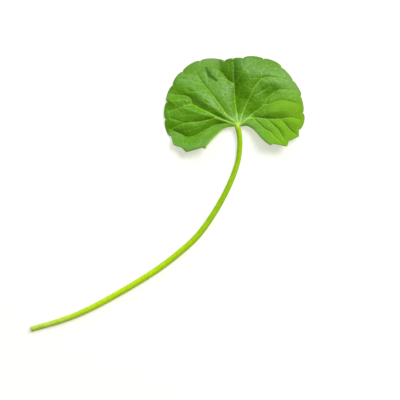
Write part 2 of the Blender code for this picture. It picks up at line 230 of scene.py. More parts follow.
# Finer veins, only here
FINE_VEINS = {
    "middle_right": Vein(0.20, 1.20, (0.13, 0.08), (0.30, 0.25), [
        (-1.4, 17.0), (0.3, 19.0), (2.1, 21.2), (4.1, 24.0), (6.2, 26.2)]),
    "left_1_low": Vein(0.20, 1.10, (0.14, 0.08), (0.45, 0.30), [
        (-9.4, 11.0), (-13.2, 12.0), (-16.2, 13.6), (-18.9, 13.6), (-22.4, 15.7)]),
    "left_1_side": Vein(0.20, 1.00, (0.13, 0.08), (0.50, 0.40), [
        (-13.8, 16.4), (-16.3, 17.0), (-18.3, 18.0), (-23.5, 18.7)]),
    "left_1_inner": Vein(0.20, 1.00, (0.12, 0.08), (0.30, 0.20), [
        (-12.7, 15.2), (-12.2, 18.2), (-12.6, 21.0), (-13.2, 24.3)]),
    "left_2_side": Vein(0.20, 0.80, (0.1, 0.07), (0.30, 0.30), [(-23.4, 7.3), (-25.4, 9.2), (-27.2, 10.2)]),
    "left_3_fork": Vein(0.30, 0.90, (0.12, 0.07), (0.30, 0.30), [(-21.5, 1.0), (-24.4, 2.2), (-27.6, 3.0)]),
    "left_4_side": Vein(0.15, 0.90, (0.12, 0.07), (0.20, 0.20), [
        (-9.1, 0.2), (-12.0, -3.0), (-14.0, -5.6), (-15.4, -8.4)]),
    "right_1_top": Vein(0.20, 1.00, (0.13, 0.08), (0.35, 0.30), [
        (9.0, 18.4), (9.3, 20.0), (10.0, 22.2), (13.2, 24.4)]),
    "right_1_side": Vein(0.20, 0.90, (0.1, 0.07), (0.35, 0.30), [(13.2, 19.3), (13.4, 20.6), (14.8, 22.8)]),
    "right_1_low": Vein(0.25, 1.10, (0.13, 0.08), (0.15, 0.10), [
        (5.3, 12.2), (7.1, 12.4), (9.2, 13.7), (11.4, 14.9), (14.0, 16.6)]),
    "right_1_inner": Vein(0.15, 1.10, (0.10, 0.08), (0.12, 0.12), [
        (5.1, 12.4), (4.7, 16.0), (4.9, 19.2), (4.9, 22.6), (5.6, 25.4)]),
    "right_2_end": Vein(0.30, 1.00, (0.14, 0.08), (0.70, 0.50), [
        (13.6, 12.8), (14.7, 13.7), (19.4, 14.3), (22.4, 13.8)]),
    "right_2_side": Vein(0.20, 0.90, (0.1, 0.07), (0.50, 0.40), [(18.6, 10.0), (19.8, 11.0), (22.6, 12.6)]),
    "right_5": Vein(0.70, 1.10, (0.15, 0.08), (0.60, 0.80), [
        (11.6, 2.7), (13.4, 0.8), (16.0, -1.8), (17.0, -3.4), (18.6, -6.4)]),
    "left_inner_1": Vein(0.06, 0.80, (0.09, 0.06), (0.20, 0.15), [
        (-2.9, 6.0), (-4.6, 10.0), (-7.0, 15.0), (-8.6, 18.4)]),
    "left_inner_2": Vein(0.10, 0.80, (0.09, 0.06), (0.30, 0.20), [
        (-4.0, 3.6), (-8.0, 6.8), (-12.4, 9.2), (-16.0, 11.0)]),
    "right_inner_1": Vein(0.10, 0.80, (0.09, 0.06), (0.30, 0.20), [(3.0, 8.2), (6.4, 10.0), (9.0, 11.6)]),
    "right_inner_2": Vein(0.10, 0.80, (0.09, 0.06), (0.30, 0.20), [
        (8.4, 6.9), (12.0, 6.0), (16.0, 6.0), (20.4, 6.4), (24.6, 5.6)]),
    "left_inner_3": Vein(0.10, 0.80, (0.09, 0.06), (0.25, 0.20), [
        (-11.0, 5.0), (-15.4, 4.6), (-20.0, 4.4), (-25.4, 3.4)]),
    "left_inner_4": Vein(0.15, 0.80, (0.09, 0.06), (0.25, 0.20), [
        (-12.0, 2.4), (-15.4, -0.6), (-19.4, -1.6), (-24.4, -3.4)]),
}

# Ridges, and wide valleys where the height is below 0: height, half-width, and the points of its line
RIDGES = {
    "under_left_1": (0.25, 1.4, [(-12.6, 10.6), (-15.4, 13.0), (-18.4, 15.0)]),
    "left_2_valley": (-0.6, 1.9, [(-14.6, 7.0), (-16.8, 8.6), (-18.2, 10.4)]),
    "outside_left_2_fork": (0.9, 1.3, [(-20.4, 10.0), (-22.8, 10.3), (-26.4, 10.0)]),
    "upper_right": (2.3, 5.6, [(3.2, 21.2), (6.0, 21.8), (9.4, 21.6), (13.0, 20.4), (16.0, 18.8)]),
    "middle_right_valley": (-1.0, 3.2, [(1.6, 5.2), (2.7, 9.4)]),
    "right_1_2_valley": (-0.7, 3.0, [(6.5, 9.0), (9.5, 12.6)]),
    "middle_fork_valley": (-0.5, 1.8, [(-3.6, 18.0), (-6.4, 21.0), (-8.6, 24.0)]),
    "left_4_valley": (-1.6, 3.2, [(-9.0, 0.4), (-13.8, -2.0), (-17.5, -3.9), (-20.3, -4.4), (-23.0, -4.0),
                                 (-28.0, -2.4)]),
    "right_2_valley": (-0.9, 2.4, [(5.9, 4.9), (10.6, 8.6), (11.6, 10.8), (14.0, 13.2)]),
    "right_3_valley": (-0.8, 2.6, [(7.0, 3.0), (10.7, 2.8), (16.8, 2.7)]),
    "right_3_fork_bank": (0.5, 1.6, [(20.6, 2.6), (23.0, 1.2)]),
    "right_5_bank": (0.3, 1.2, [(15.4, 1.0), (18.2, -1.2), (19.6, -3.8)]),
}

# Heights of the tissue around the insertion, low at the veins and high between them: the angle in
# degrees from +X, the height of the inner blade and of the outer blade
FOLDS = [
    (-60, 4.4, 3.0),
    (-38, 4.2, 3.2),
    (-22, 3.0, 2.2),
    (-12, 1.7, 1.4),  # right_4
    (-2, 1.3, 1.2),
    (9, 1.0, 1.3),  # right_3
    (22, 1.6, 1.9),
    (33, 0.8, 1.3),  # right_2_fork
    (44, 0.3, 1.0),  # right_2
    (56, 0.8, 0.8),
    (67, 0.6, 0.2),  # right_1
    (80, -0.4, 0.2),
    (95, -2.0, -0.3),  # middle
    (112, -1.3, -1.1),
    (129, -0.6, -0.5),  # left_1
    (145, 0.4, 0.6),
    (156, -0.1, 0.1),  # left_2
    (160, 0.8, 0.8),
    (167, 0.5, 0.4),
    (175, 0.1, 0.2),  # left_3
    (183, 0.3, 0.1),
    (192, 0.5, 0.1),
    (205, 1.4, 0.7),
    (216, 2.4, 1.8),
    (240, 3.4, 3.0),
]

# How much of the margin's drop each angle takes: none at the lower left lobe, which stands up
DROPS = [(-60, 0.15), (-38, 0.25), (-15, 0.9), (0, 1.2), (15, 1.2), (40, 1.3), (70, 1.0), (88, 0.25),
         (106, 0.9), (120, 1.0), (165, 0.9), (185, 0.6), (200, 0.1), (240, 0.0)]

# A crease pressed into the upper left of the blade, darkened with painted shade, with painted shade for a dim
# slope and a low bank beside it
CREASE = [(-12.7, 23.3), (-12.1, 21.8), (-11.7, 20.8), (-11.5, 20.0), (-10.5, 19.4), (-9.5, 18.7),
          (-8.7, 18.1)]
CREASE_DEPTH = 0.4
CREASE_WIDTH = (0.8, 0.5)  # near its middle, and at its ends
CREASE_MIDDLE = (0.4, 0.25)  # where along it that is, and over what share of its length
CREASE_SHADE_SPAN = (0.1, 0.95)  # the shares of its depth between which its painted shade sets in
CREASE_SHADE = [(-11.6, 22.2), (-10.7, 20.9), (-9.3, 19.9)]
CREASE_SHADE_WIDTH = 1.1
CREASE_BANK = [(-11.2, 24.6), (-9.8, 22.9), (-8.4, 21.6)]
CREASE_BANK_HEIGHT = 0.25
CREASE_BANK_WIDTH = 0.8

# Soft patches of painted sheen, pale and bluish, and others that are duller, or glossier where below 0: each
# patch's middle, its half-widths in x and y, and its strength
PAINTED_SHEEN_PATCHES = [
    ((-12.0, 25.2), (5.0, 3.0), 0.40),
    ((20.0, 18.5), (4.0, 5.0), 0.38),
    ((-15.0, 10.4), (3.6, 2.4), 0.18),
]
DULL = [
    ((5.0, 23.0), (5.5, 3.5), 0.12),
    ((-21.5, 9.2), (3.0, 1.8), -0.1),
]

# Where the other colours of the blade lie
RIM_WIDTH = 0.22
BROWN_WIDTH = 0.16
BROWN_START = (-25.0, 10.0)  # the angles between which the brown rim sets in
BROWN_END = (140.0, 175.0)
LIT_WIDTH = 0.3  # the light line along the left notch margin
TIP_RADIUS = 0.4  # the pale tips of pointed teeth
NOTCH_TIP = (0.35, 0.3)  # how pale the notches between teeth are, and their radius
BASE_REACH = 5.0  # how far the yellower tissue reaches from the insertion and the left notch margin
NOTCH_BASE = 0.9  # how strong it is at that margin
WARM_RIGHT = (2.0, 20.0)  # warmer towards the right
WARM_TOP = (4.0, 20.0)  # and less so towards the top
WARM_TOP_LOSS = 0.9
COOL_TOP = (6.0, 24.0)  # cooler towards the top
COOL_LEFT = (-12.0, 2.0)  # and most so between these two
COOL_RIGHT = (10.0, 20.0)
COOL_SIDES = 0.45  # how cool it is outside them

# Colours, in linear light
LEAF_GREEN = (0.064, 0.200, 0.001)
WARM_GREEN = (0.118, 0.270, 0.0003)
COOL_GREEN = (0.050, 0.150, 0.003)
BASE_GREEN = (0.095, 0.215, 0.0005)
# painted sheen: a pale bluish colour laid where the waxy blade catches the light
PAINTED_SHEEN_GREEN = (0.17, 0.30, 0.09)
BLOTCH_GREEN = (0.09, 0.235, 0.001)
SPECK_GREEN = (0.12, 0.28, 0.003)
NET_GREEN = (0.12, 0.29, 0.002)
WEB_GREEN = (0.15, 0.33, 0.006)
SHADE_GREEN = (0.034, 0.110, 0.0002)
# painted shade in the crease
CREASE_SHADE_GREEN = (0.030, 0.102, 0.0001)
VEIN_GREEN = (0.24, 0.43, 0.03)
KNOT_GREEN = (0.46, 0.70, 0.08)
RIM_GREEN = (0.20, 0.36, 0.05)
TIP_YELLOW = (0.42, 0.52, 0.14)
LIT_GREEN = (0.36, 0.55, 0.02)
RIM_BROWN = (0.16, 0.09, 0.05)
UNDER_GREEN = (0.15, 0.34, 0.06)
UNDER_VEIN_GREEN = (0.34, 0.54, 0.14)
THROUGH_GREEN = (0.32, 0.62, 0.02)
YOUNG_STALK = ((0.19, 0.345, 0.0005), (0.23, 0.39, 0.0005))  # between its streaks, and on them
RIPE_STALK = ((0.31, 0.47, 0.001), (0.37, 0.52, 0.003))
OLD_STALK = ((0.30, 0.43, 0.03), (0.38, 0.50, 0.06))
STALK_RIB_GREEN = (0.34, 0.52, 0.02)
STALK_HEAD_GREEN = (0.38, 0.58, 0.06)
PITH = ((0.30, 0.34, 0.06), (0.62, 0.70, 0.30))  # its ring, and its middle

# Fine surface patterns, in features a metre
BLOTCH_SCALE = 160.0
SPECK_SCALE = 1500.0
FINE_NET_SCALE = 1300.0
GRAIN_SCALE = 2600.0
STREAK_SCALE = 420.0
STALK_GRAIN_SCALE = 1800.0
BUMP_HEIGHT = 0.00003  # metres

STALK_ROUTE = [
    (0.0, -0.85), (0.45, -2.8), (0.8, -6.4), (0.66, -9.8), (0.1, -13.8), (-1.1, -17.9), (-2.7, -22.0),
    (-4.7, -26.3), (-9.8, -35.3), (-16.1, -43.9), (-23.8, -51.0), (-31.4, -56.8), (-39.9, -62.3),
    (-48.1, -67.1), (-56.1, -71.5), (-64.1, -75.3), (-72.1, -78.2), (-79.0, -80.2), (-82.6, -81.2),
]


def smooth_step(low, high, value):
    t = np.clip((value - low) / (high - low), 0.0, 1.0)
    return t * t * (3.0 - 2.0 * t)


def bell(distance, width):
    """1 at no distance, and falling off like a bell."""
    return np.exp(-((distance / width) ** 2))


def smooth_between(knots, value):
    """A smooth curve through the (place, height) knots, read at every value."""
    places = np.array([knot[0] for knot in knots], float)
    heights = np.array([knot[1] for knot in knots], float)
    slopes = np.gradient(heights, places)
    value = np.clip(value, places[0], places[-1])
    i = np.clip(np.searchsorted(places, value) - 1, 0, len(places) - 2)
    span = places[i + 1] - places[i]
    t = (value - places[i]) / span
    start = (1 + 2 * t) * (1 - t) ** 2 * heights[i] + t * (1 - t) ** 2 * span * slopes[i]
    end = t * t * (3 - 2 * t) * heights[i + 1] + t * t * (t - 1) * span * slopes[i + 1]
    return start + end


def lengths_along(points):
    return np.concatenate([[0.0], np.cumsum(np.linalg.norm(np.diff(points, axis=0), axis=1))])


def smooth_line(points, step):
    """Points a step apart on a smooth curve through the given points."""
    points = np.array(points, float)
    along = lengths_along(points)
    count = max(2, round(along[-1] / step) + 1)
    places = np.linspace(0.0, along[-1], count)
    columns = [smooth_between(list(zip(along, points[:, k])), places) for k in range(points.shape[1])]
    return np.stack(columns, axis=1)


def tooth_curve(notch, crown, next_notch, pointed, step):
    """From one notch over the crown to the next: two elliptic quarters, or two straight runs to a point."""
    notch, crown, next_notch = (np.array(p) for p in (notch, crown, next_notch))
    curve = []
    for near, far, rising in ((notch, next_notch, True), (next_notch, notch, False)):
        chord = (far - near) / np.linalg.norm(far - near)
        foot = near + chord * np.dot(crown - near, chord)
        count = max(2, round(np.linalg.norm(crown - near) / step))
        run = []
        for k in range(count + 1):
            if pointed:
                run.append(near + (crown - near) * k / count)
            else:
                turn = 0.5 * math.pi * k / count
                run.append(near + (foot - near) * (1 - math.cos(turn)) + (crown - foot) * math.sin(turn))
        curve += run if rising else run[::-1][1:]
    return curve


def outline(step):
    """The blade's outline, anticlockwise, as an array of plan points."""
    points = list(smooth_line(RIGHT_NOTCH_MARGIN, step))
    notch = RIGHT_NOTCH_MARGIN[-1]
    for crown, next_notch, pointed in TEETH:
        points += tooth_curve(notch, crown, next_notch, pointed, step)[1:]
        notch = next_notch
    points += list(smooth_line(LEFT_NOTCH_MARGIN, step))[1:]
    return np.array(points)


def place_on(line, x, y):
    """Distance in plan from each point to a polyline, and how far along it the nearest place is, 0 to 1."""
    line = np.array(line, float)
    along = lengths_along(line)
    nearest = np.full(x.shape, np.inf)
    fraction = np.zeros(x.shape)
    for k, ((ax, ay), (bx, by)) in enumerate(zip(line, line[1:])):
        dx, dy = bx - ax, by - ay
        t = np.clip(((x - ax) * dx + (y - ay) * dy) / (dx * dx + dy * dy), 0.0, 1.0)
        distance = np.hypot(x - ax - t * dx, y - ay - t * dy)
        closer = distance < nearest
        nearest = np.where(closer, distance, nearest)
        fraction = np.where(closer, (along[k] + t * (along[k + 1] - along[k])) / along[-1], fraction)
    return nearest, fraction


def distance_to(line, x, y):
    return place_on(line, x, y)[0]


def inside(polygon, x, y):
    """Which points lie inside the closed polygon."""
    found = np.zeros(x.shape, bool)
    for (ax, ay), (bx, by) in zip(polygon, np.roll(polygon, -1, axis=0)):
        crosses = (ay > y) != (by > y)
        with np.errstate(divide="ignore", invalid="ignore"):
            found ^= crosses & (x < (bx - ax) * (y - ay) / (by - ay) + ax)
    return found


def wobble(x, y, size, layer):
    """Smooth noise about -1 to 1 over the plan, the same each run."""
    return np.array([noise.noise(Vector((a / size, b / size, layer))) for a, b in zip(x, y)])


def cell_gap(x, y, size, seed):
    """How far each point is from the edge of its cell in a net of cells about this size, in millimetres."""
    draw = np.random.default_rng(seed)
    reach = math.ceil(CELLS_HALF / size)
    middles = np.array([((i + 0.5 * (j % 2)) * size, j * size * CELL_ROW, 0.0)
                        for j in range(-reach, reach) for i in range(-reach, reach)])
    middles[:, :2] += draw.uniform(-CELL_SHIFT, CELL_SHIFT, (len(middles), 2)) * size
    tree = KDTree(len(middles))
    for k, spot in enumerate(middles):
        tree.insert(spot, k)
    tree.balance()
    gap = np.empty(len(x))
    for k, spot in enumerate(zip(x, y)):
        near, far = tree.find_n((*spot, 0.0), 2)
        gap[k] = far[2] - near[2]
    return gap


def patches(spots, x, y):
    """What the soft elliptic patches add up to at each point."""
    total = np.zeros(x.shape)
    for (a, b), (wide, high), strength in spots:
        total += strength * np.exp(-(((x - a) / wide) ** 2) - ((y - b) / high) ** 2)
    return total


def vein_fields(x, y):
    """Groove depth, rib height and pale vein colour that all veins leave at each point."""
    grooves = np.zeros(x.shape)
    ribs = np.zeros(x.shape)
    pale = np.zeros(x.shape)
    for group, loss in ((VEINS, VEIN_LOSS), (FINE_VEINS, FINE_VEIN_LOSS)):
        for vein in group.values():
            distance, fraction = place_on(smooth_line(vein.line, LINE_STEP), x, y)
            fade = 1.0 - smooth_step(VEIN_LOSS_START, 1.0, fraction) * loss
            half = vein.rib[0] + (vein.rib[1] - vein.rib[0]) * fraction ** RIB_NARROWING
            groove = np.exp(-distance / vein.width) + CREVICE_SHARE * np.exp(-distance / CREVICE_WIDTH)
            grooves += (fade * vein.depth * groove) ** GROOVE_JOIN
            ribs = np.maximum(ribs, bell(distance, half) * half * fade)
            paleness = vein.pale[0] + (vein.pale[1] - vein.pale[0]) * smooth_step(*PALE_CHANGE, fraction)
            pale = np.maximum(pale, bell(distance, np.maximum(half, LEAST_PALE_WIDTH)) * fade * paleness)
    return grooves ** (1 / GROOVE_JOIN), ribs, pale


def tooth_tips(x, y):
    """How far each point is in the pale tip of a pointed tooth, or less so in a notch."""
    tips = np.zeros(x.shape)
    pale, radius = NOTCH_TIP
    for crown, next_notch, pointed in TEETH:
        tips = np.maximum(tips, pale * bell(np.hypot(x - next_notch[0], y - next_notch[1]), radius))
        if pointed:
            tips = np.maximum(tips, bell(np.hypot(x - crown[0], y - crown[1]), TIP_RADIUS))
    return tips


def angle_of(x, y):
    """Direction from the insertion in degrees, from -90 to 270."""
    angle = np.degrees(np.arctan2(y, x))
    return np.where(angle < -90.0, angle + 360.0, angle)


def blade_form(x, y):
    """Height of the blade's upper face without its veins."""
    radius = np.hypot(x, y)
    angle = angle_of(x, y)
    crest = CREST_HEIGHT * smooth_step(0.0, CREST_RADIUS, radius)
    drop = MARGIN_DROP * smooth_between(DROPS, angle) * smooth_step(DROP_START, MARGIN_RADIUS, radius)
    spread = 1.0 - np.exp(-((radius / FOLD_REACH) ** FOLD_POWER))
    outer = smooth_step(*FOLD_CHANGE, radius)
    inner_folds = smooth_between([(knot[0], knot[1]) for knot in FOLDS], angle) * spread
    outer_folds = smooth_between([(knot[0], knot[2]) for knot in FOLDS], angle)
    folds = inner_folds * (1.0 - outer) + outer_folds * outer
    for ridge, width, line in RIDGES.values():
        folds += ridge * bell(distance_to(smooth_line(line, LINE_STEP), x, y), width)
    return INSERTION_HEIGHT + crest - drop + folds


def crease_depth(x, y):
    """How deep each point lies in the crease, 0 to 1."""
    beside, down = place_on(smooth_line(CREASE, LINE_STEP), x, y)
    middle, share = CREASE_MIDDLE
    width = CREASE_WIDTH[1] + (CREASE_WIDTH[0] - CREASE_WIDTH[1]) * bell(down - middle, share)
    return bell(beside, width)


def blade_faces(x, y, edge):
    """Upper and lower heights of the blade, and the fields that colour it, at each plan point."""
    radius = np.hypot(x, y)
    angle = angle_of(x, y)
    to_edge = distance_to(np.vstack([edge, edge[:1]]), x, y)
    to_notch = distance_to(LEFT_NOTCH_MARGIN, x, y)
    grooves, ribs, pale = vein_fields(x, y)
    reach = smooth_step(0.0, VEIN_REACH, radius)
    reach *= 1.0 - (1.0 - VEIN_END_DEPTH) * smooth_step(*VEIN_FADE, radius)
    bent = [at + BEND * wobble(x, y, BEND_SIZE, layer) for at, layer in zip((x, y), BEND_LAYERS)]
    net = smooth_step(0.0, AREOLE_EDGE * AREOLE_SIZE, cell_gap(*bent, AREOLE_SIZE, AREOLE_SEED))
    web = bell(cell_gap(*bent, WEB_SIZE, WEB_SEED), WEB_WIDTH)
    calm = smooth_step(*CALM_MARGIN, to_edge) * smooth_step(*CALM_MIDDLE, radius)
    crease = crease_depth(x, y)
    knot = bell(radius, KNOT_RADIUS)

    height = blade_form(x, y) - grooves * reach
    height += (AREOLE_DOME * (net - 1.0) - WEB_DEPTH * web) * calm
    for rise, size, layer in WAVES:
        height += rise * wobble(x, y, size, layer) * calm
    height -= CREASE_DEPTH * crease
    height += CREASE_BANK_HEIGHT * bell(distance_to(CREASE_BANK, x, y), CREASE_BANK_WIDTH)
    height -= MARGIN_ROLL * np.exp(-((to_edge / ROLL_WIDTH) ** ROLL_POWER))
    swelling, swelling_reach = RIB_SWELLING
    upper_rib = UPPER_RIB * ribs * (1.0 + swelling * np.exp(-radius / swelling_reach)) + KNOT_HEIGHT * knot

    taper = smooth_step(0.0, MARGIN_TAPER, to_edge)
    thickness = MARGIN_THICKNESS + (BLADE_THICKNESS - MARGIN_THICKNESS) * taper
    pad = PAD_THICKNESS * bell(radius, PAD_RADIUS)
    lower = np.maximum(height - thickness - pad - UNDER_RIB * ribs, 0.0)
    upper = np.maximum(height - thickness, 0.0) + thickness + upper_rib

    cool_middle = smooth_step(*COOL_LEFT, x) * (1.0 - smooth_step(*COOL_RIGHT, x))
    brown_part = smooth_step(*BROWN_START, angle) * (1.0 - smooth_step(*BROWN_END, angle))
    fields = {
        "vein": np.clip(pale, 0.0, 1.0),
        "net": (1.0 - net) * calm,
        "web": web * calm,
        "rim": bell(to_edge, RIM_WIDTH),
        "warm": smooth_step(*WARM_RIGHT, x) * (1.0 - WARM_TOP_LOSS * smooth_step(*WARM_TOP, y)),
        "cool": smooth_step(*COOL_TOP, y) * (COOL_SIDES + (1.0 - COOL_SIDES) * cool_middle),
        # painted sheen in soft patches
        "painted_sheen": patches(PAINTED_SHEEN_PATCHES, x, y),
        "dull": patches(DULL, x, y),
        "base": np.maximum(bell(radius, BASE_REACH), NOTCH_BASE * bell(to_notch, BASE_REACH)),
        "knot": knot,
        # painted shade, deepest in the crease
        "crease": smooth_step(*CREASE_SHADE_SPAN, crease),
        "shade": bell(distance_to(CREASE_SHADE, x, y), CREASE_SHADE_WIDTH),
        "tip": tooth_tips(x, y),
        "lit": bell(to_notch, LIT_WIDTH),
        "brown": bell(to_edge, BROWN_WIDTH) * brown_part,
    }
    return upper, lower, fields


def shrunk(edge, distance):
    """The outline moved inward by a distance."""
    along = np.roll(edge, -1, axis=0) - np.roll(edge, 1, axis=0)
    along /= np.linalg.norm(along, axis=1)[:, None]
    return edge + distance * np.column_stack([-along[:, 1], along[:, 0]])


def vein_band(step):
    """Plan points in rows along every vein, no two in one place."""
    rows = round(VEIN_BAND / step)
    band = []
    for group, used in ((VEINS, rows), (FINE_VEINS, rows // 2)):
        for vein in group.values():
            run = smooth_line(vein.line, step)
            along = np.gradient(run, axis=0)
            along /= np.linalg.norm(along, axis=1)[:, None]
            across = np.column_stack([-along[:, 1], along[:, 0]])
            for k in range(-used, used + 1):
                band.append(run + across * k * step)
    band = np.vstack(band)
    _, first = np.unique(np.round(band / (LEAST_GAP * step)), axis=0, return_index=True)
    return band[np.sort(first)]


def plan_mesh(edge, step):
    """Triangles over the blade's plan, fine along every vein and coarser between them."""
    band = vein_band(VEIN_STEP * step / TOP_STEP)
    count = math.ceil(GRID_HALF / step)
    grid = np.array([((i + 0.5 * (j % 2)) * step, j * step * math.sqrt(3) / 2)
                     for j in range(-count, count) for i in range(-count, count)])
    tree = KDTree(len(band))
    for k, (a, b) in enumerate(band):
        tree.insert((a, b, 0.0), k)
    tree.balance()
    apart = np.array([tree.find((a, b, 0.0))[2] for a, b in grid])
    spots = np.vstack([band, grid[apart > LEAST_GAP * step]])
    spots = spots[inside(edge, spots[:, 0], spots[:, 1])]
    clear = distance_to(np.vstack([edge, edge[:1]]), spots[:, 0], spots[:, 1])
    spots = spots[clear > EDGE_GAP * min(step, EDGE_GAP_STEP)]
    points = [Vector(p) for p in np.vstack([edge, spots])]
    plan, _, faces, *_ = delaunay_2d_cdt(points, [], [list(range(len(edge)))], 1, 1e-6)
    return np.array([tuple(spot) for spot in plan]), np.array([tuple(face) for face in faces])


def mesh_piece(name, points, faces, finish, fields):
    """A smooth mesh object over the insertion, in metres, with one float attribute for each field."""
    mesh = bpy.data.meshes.new(name)
    mesh.from_pydata((np.asarray(points) * MM).tolist(), [], [tuple(int(v) for v in f) for f in faces])
    mesh.materials.append(finish)
    mesh.shade_smooth()
    for field, values in fields.items():
        mesh.attributes.new(field, "FLOAT", "POINT").data.foreach_set("value", np.asarray(values, np.float32))
    made = bpy.data.objects.new(name, mesh)
    bpy.context.scene.collection.objects.link(made)
    made.location = (INSERTION[0] * MM, INSERTION[1] * MM, 0.0)
    return made


def make_blade(finish):
    """Fine upper face and coarser lower face over the same outline, joined by a rounded edge."""
    full = outline(OUTLINE_STEP)
    inner = shrunk(full, EDGE_ROUND)
    top_plan, top_faces = plan_mesh(inner, TOP_STEP)
    under_plan, under_faces = plan_mesh(inner, UNDER_STEP)
    upper, _, top_fields = blade_faces(top_plan[:, 0], top_plan[:, 1], full)
    _, lower, under_fields = blade_faces(under_plan[:, 0], under_plan[:, 1], full)
    middle = 0.5 * (upper[:len(full)] + lower[:len(full)])

    first_under = len(top_plan)
    first_middle = first_under + len(under_plan)
    points = np.vstack([
        np.column_stack([top_plan, upper]),
        np.column_stack([under_plan, lower]),
        np.column_stack([full, middle]),
    ])
    faces = [tuple(face) for face in top_faces]
    faces += [tuple(first_under + face[::-1]) for face in under_faces]
    for a in range(len(full)):
        b = (a + 1) % len(full)
        faces.append((b, a, first_middle + a, first_middle + b))
        faces.append((first_middle + b, first_middle + a, first_under + a, first_under + b))
    fields = {}
    for field in top_fields:
        at_rim = top_fields[field][:len(full)]
        fields[field] = np.concatenate([top_fields[field], under_fields[field], at_rim])
    fields["under"] = np.concatenate([
        np.zeros(len(top_plan)), np.ones(len(under_plan)), np.full(len(full), 0.5)])
    return mesh_piece("leaf_blade", points, faces, finish, fields)


def stalk_line():
    """Centre points of the stalk, its radius and the length from its round upper end at each."""
    plan = smooth_line([STALK_HEAD, *STALK_ROUTE], STALK_STEP)
    along = lengths_along(plan)
    radius = smooth_between([(share * along[-1], size) for share, size in STALK_RADII], along)
    rise = STALK_END_HEIGHT - STALK_SINK * STALK_RADIUS_TOP
    height = STALK_SINK * radius + rise * (1 - smooth_step(*STALK_LIFT, along))
    wider, flare_reach = STALK_FLARE
    flare = 1.0 + wider * np.exp(-along / flare_reach)
    dome = np.sqrt(1.0 - (1.0 - np.clip(along / STALK_DOME, 0.0, 1.0)) ** 2)
    return np.column_stack([plan, height]), radius * flare * np.maximum(dome, STALK_TIP), along


def make_stalk(finish):
    """The stalk: faint ribs along it, and a cut end with a soft, slightly sunken pith."""
    centres, radii, along = stalk_line()
    tangents = np.gradient(centres, axis=0)
    tangents /= np.linalg.norm(tangents, axis=1)[:, None]
    turns = 2 * math.pi * np.arange(STALK_SIDES) / STALK_SIDES
    unevenness, waver_size, layer = STALK_WAVER
    rows = []
    ribs = []
    for centre, radius, tangent, s in zip(centres, radii, tangents, along):
        side = np.array([tangent[1], -tangent[0], 0.0])
        side /= np.linalg.norm(side)
        up = np.cross(side, tangent)
        rib = np.cos(STALK_RIBS * (turns + STALK_TWIST * s))
        waver = unevenness * noise.noise(Vector((s / waver_size, 0.0, layer)))
        size = radius * (1.0 - STALK_RIB_HEIGHT + STALK_RIB_HEIGHT * rib + waver)
        ring = centre + (size * np.cos(turns))[:, None] * side + (size * np.sin(turns))[:, None] * up
        ring[:, 2] = np.maximum(ring[:, 2], 0.0)
        rows.append(ring)
        ribs.append(rib)

    last = rows[-1]
    for share, sink, _ in CUT_RINGS:
        rows.append(centres[-1] + (last - centres[-1]) * share + tangents[-1] * sink)
        ribs.append(np.zeros(STALK_SIDES))
    faces = []
    for row in range(len(rows) - 1):
        for k in range(STALK_SIDES):
            a = row * STALK_SIDES + k
            b = row * STALK_SIDES + (k + 1) % STALK_SIDES
            faces.append((a, a + STALK_SIDES, b + STALK_SIDES, b))
    faces.append(tuple(range(STALK_SIDES)))
    total = len(rows) * STALK_SIDES
    faces.append(tuple(range(total - STALK_SIDES, total))[::-1])
    places = np.repeat([*along, *[along[-1]] * len(CUT_RINGS)], STALK_SIDES)
    fields = {
        "along": places / along[-1],
        "knot": bell(places, KNOT_REACH),
        "cut": np.repeat([0.0] * len(along) + [pith for _, _, pith in CUT_RINGS], STALK_SIDES),
        "rib": np.concatenate(ribs),
    }
    return mesh_piece("leaf_stalk", np.vstack(rows), faces, finish, fields)


class Nodes:
    """A small helper that adds and links shader nodes."""

    def __init__(self, name):
        self.material = bpy.data.materials.new(name)
        self.material.use_nodes = True
        self.tree = self.material.node_tree
        self.shader = self.tree.nodes["Principled BSDF"]
        self.output = self.tree.nodes["Material Output"]

    def add(self, kind, **settings):
        node = self.tree.nodes.new(kind)
        for key, value in settings.items():
            setattr(node, key, value)
        return node

    def put(self, socket, value):
        if isinstance(value, bpy.types.NodeSocket):
            self.tree.links.new(value, socket)
        elif isinstance(value, tuple) and len(value) == 3 and socket.type == "RGBA":
            socket.default_value = (*value, 1.0)
        else:
            socket.default_value = value

    def attribute(self, name):
        return self.add("ShaderNodeAttribute", attribute_name=name).outputs["Fac"]

    def math(self, operation, a, b):
        node = self.add("ShaderNodeMath", operation=operation)
        self.put(node.inputs[0], a)
        self.put(node.inputs[1], b)
        return node.outputs[0]

    def mix(self, factor, a, b):
        node = self.add("ShaderNodeMix", data_type="RGBA")
        self.put(node.inputs[0], factor)
        self.put(node.inputs[6], a)
        self.put(node.inputs[7], b)
        return node.outputs[2]

    def cover(self, color, field, share, top):
        """The colour, with a share of the top colour over it where the field is 1."""
        return self.mix(self.math("MULTIPLY", field, share), color, top)

    def ramp(self, value, low, high):
        node = self.add("ShaderNodeMapRange", interpolation_type="SMOOTHSTEP")
        self.put(node.inputs["Value"], value)
        node.inputs["From Min"].default_value = low
        node.inputs["From Max"].default_value = high
        return node.outputs[0]

    def texture(self, kind, scale, **settings):
        """A texture that lies still on the piece. The scale is in features a metre."""
        node = self.add(kind, **settings)
        self.put(node.inputs["Vector"], self.add("ShaderNodeTexCoord").outputs["Object"])
        node.inputs["Scale"].default_value = scale
        return node

    def noise(self, scale, detail=4.0):
        node = self.texture("ShaderNodeTexNoise", scale)
        node.inputs["Detail"].default_value = detail
        node.inputs["Roughness"].default_value = 0.55
        return node.outputs["Fac"]

    def cells(self, scale):
        return self.texture("ShaderNodeTexVoronoi", scale, feature="DISTANCE_TO_EDGE").outputs["Distance"]

    def bump(self, height, strength):
        node = self.add("ShaderNodeBump")
        node.inputs["Strength"].default_value = strength
        node.inputs["Distance"].default_value = BUMP_HEIGHT
        self.put(node.inputs["Height"], height)
        return node.outputs[0]


